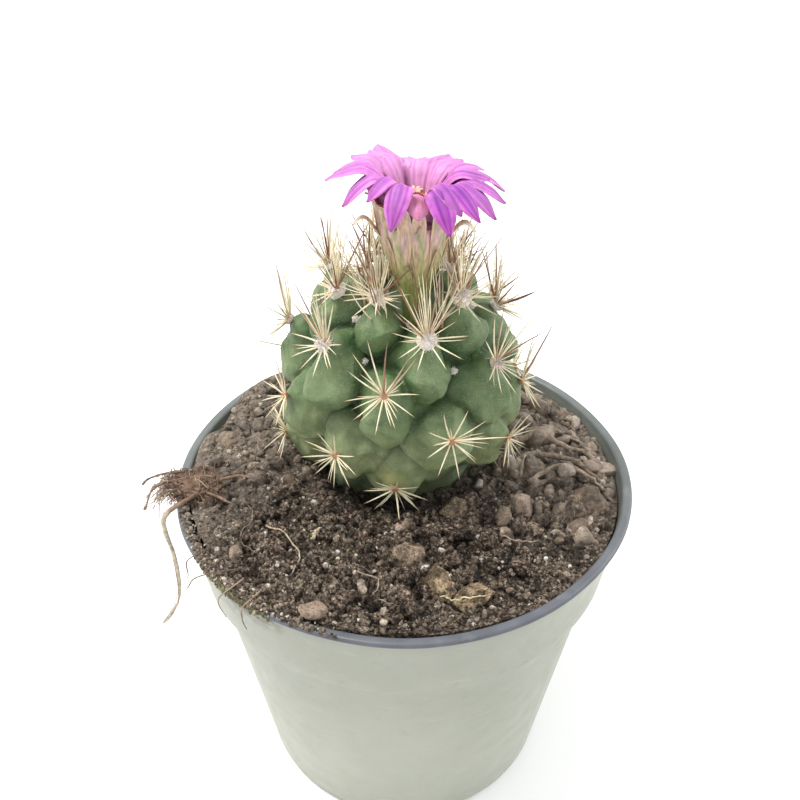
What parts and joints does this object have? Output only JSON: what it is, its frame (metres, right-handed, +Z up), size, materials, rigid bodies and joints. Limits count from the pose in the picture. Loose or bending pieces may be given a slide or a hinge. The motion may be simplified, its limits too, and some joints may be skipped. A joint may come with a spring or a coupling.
{
  "type": "potted round cactus",
  "caption": "Small round cactus with knobbly tubercles, star clusters of spines and one open flower, in a round tapered nursery pot of gritty soil.",
  "frame": {"origin": "centre of the pot's flat underside", "axes": "+Z up, -Y towards the side the picture was taken from, +X to that viewer's right"},
  "size_m": [0.1123, 0.105, 0.1595],
  "materials": {
    "pot": "thin pale grey-green moulded plastic, slightly waxy",
    "soil": "loose gritty potting soil",
    "skin": "matte green skin with a pale bloom",
    "spines": "straw-coloured spines with reddish-brown tips, on woolly pads",
    "flower_tube": "olive and tan fleshy tube",
    "petals": "silky magenta petals, pale towards the base",
    "stamens": "orange-pink threads",
    "stigma": "pale yellow lobes",
    "stones": "dusty tan and grey pebbles",
    "dry_roots": "dry fibrous root"
  },
  "bodies": {
    "root": {"pot": "pot", "soil": "soil", "cactus_body": "skin", "areole_01": "spines", "areole_02": "spines", "areole_03": "spines", "areole_04": "spines", "areole_05": "spines", "areole_06": "spines", "areole_07": "spines", "areole_08": "spines", "areole_09": "spines", "areole_10": "spines", "areole_11": "spines", "areole_12": "spines", "areole_13": "spines", "areole_14": "spines", "areole_15": "spines", "areole_16": "spines", "areole_17": "spines", "areole_18": "spines", "areole_19": "spines", "areole_20": "spines", "areole_21": "spines", "areole_22": "spines", "areole_23": "spines", "areole_24": "spines", "areole_25": "spines", "areole_26": "spines", "areole_27": "spines", "areole_28": "spines", "areole_29": "spines", "areole_30": "spines", "areole_31": "spines", "areole_33": "spines", "flower_tube": "flower_tube", "petals": "petals", "stamens": "stamens", "stigma": "stigma", "stone_large_right": "stones", "stone_grey_front": "stones", "stone_tan_front": "stones", "stone_tan_rim": "stones", "stone_brown_middle": "stones", "stone_pale_left": "stones", "stone_brown_right": "stones", "stone_far_right": "stones", "dry_roots": "dry_roots"}
  },
  "joints": []
}
